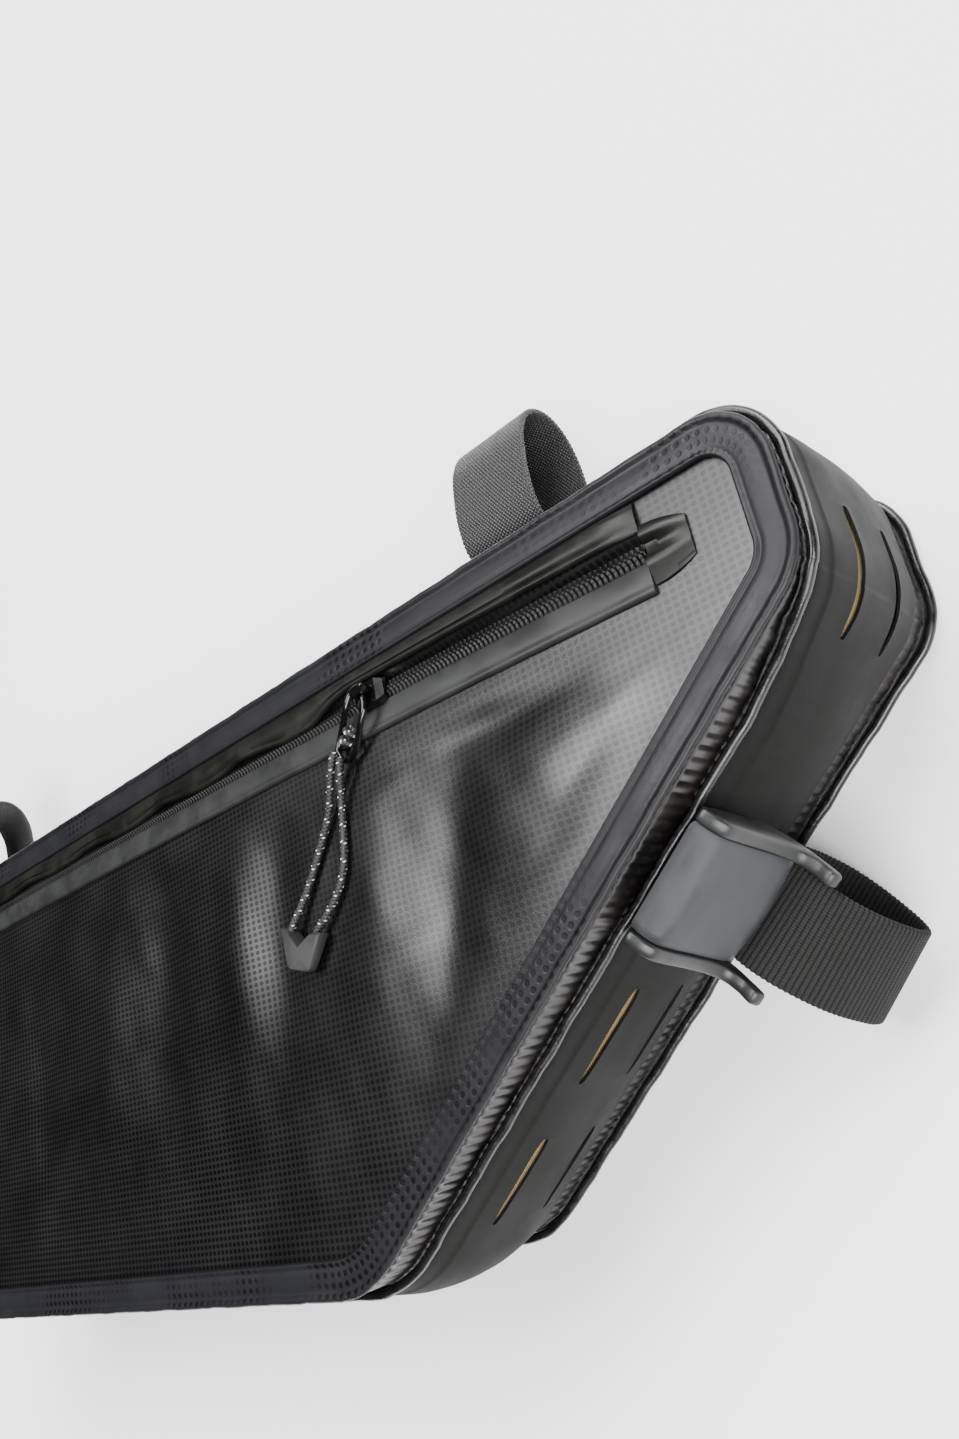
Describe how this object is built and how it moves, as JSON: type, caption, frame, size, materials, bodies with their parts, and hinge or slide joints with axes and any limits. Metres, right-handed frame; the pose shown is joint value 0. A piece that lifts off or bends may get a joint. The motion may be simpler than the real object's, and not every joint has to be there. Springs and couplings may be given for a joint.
{
  "type": "bicycle frame bag",
  "caption": "Slim trapezoid bicycle frame bag with a side zip, slotted edge panel, webbing loops along its top and a buckled webbing strap on its slanted front edge.",
  "frame": {"origin": "middle of the bounding box at the surface that the far side lies on", "axes": "+X along the straight top edge towards the narrow nose, +Y out of the top edge, +Z out of the side with the zip"},
  "size_m": [0.4236, 0.1962, 0.07],
  "materials": {
    "coated_cloth": "satin",
    "welded_flange": "satin",
    "band_cloth": "satin",
    "edge_sheet": "matte",
    "tan_tape": "matte",
    "smooth_tape": "satin",
    "coil": "satin",
    "flap": "satin",
    "gloss_black": "gloss",
    "cord": "matte",
    "tab": "matte",
    "webbing": "matte",
    "satin_frame": "satin",
    "slate_cover": "matte"
  },
  "bodies": {
    "root": {"gusset_band": "band_cloth", "near_border": "welded_flange", "far_border": "welded_flange", "near_bead": "welded_flange", "far_bead": "welded_flange", "slot_backing": "tan_tape", "edge_panel": "edge_sheet", "near_panel": "coated_cloth", "far_panel": "coated_cloth", "zip_coil": "coil", "zip_tape": "smooth_tape", "zip_flap": "flap", "zip_end": "flap", "slider": "gloss_black", "puller": "gloss_black", "cord_hitch": "cord", "pull_cord": "cord", "cord_tab": "tab", "top_strap_front": "webbing", "top_strap_rear": "webbing", "down_strap": "webbing", "buckle_frame": "satin_frame", "buckle_cover": "slate_cover"}
  },
  "joints": []
}
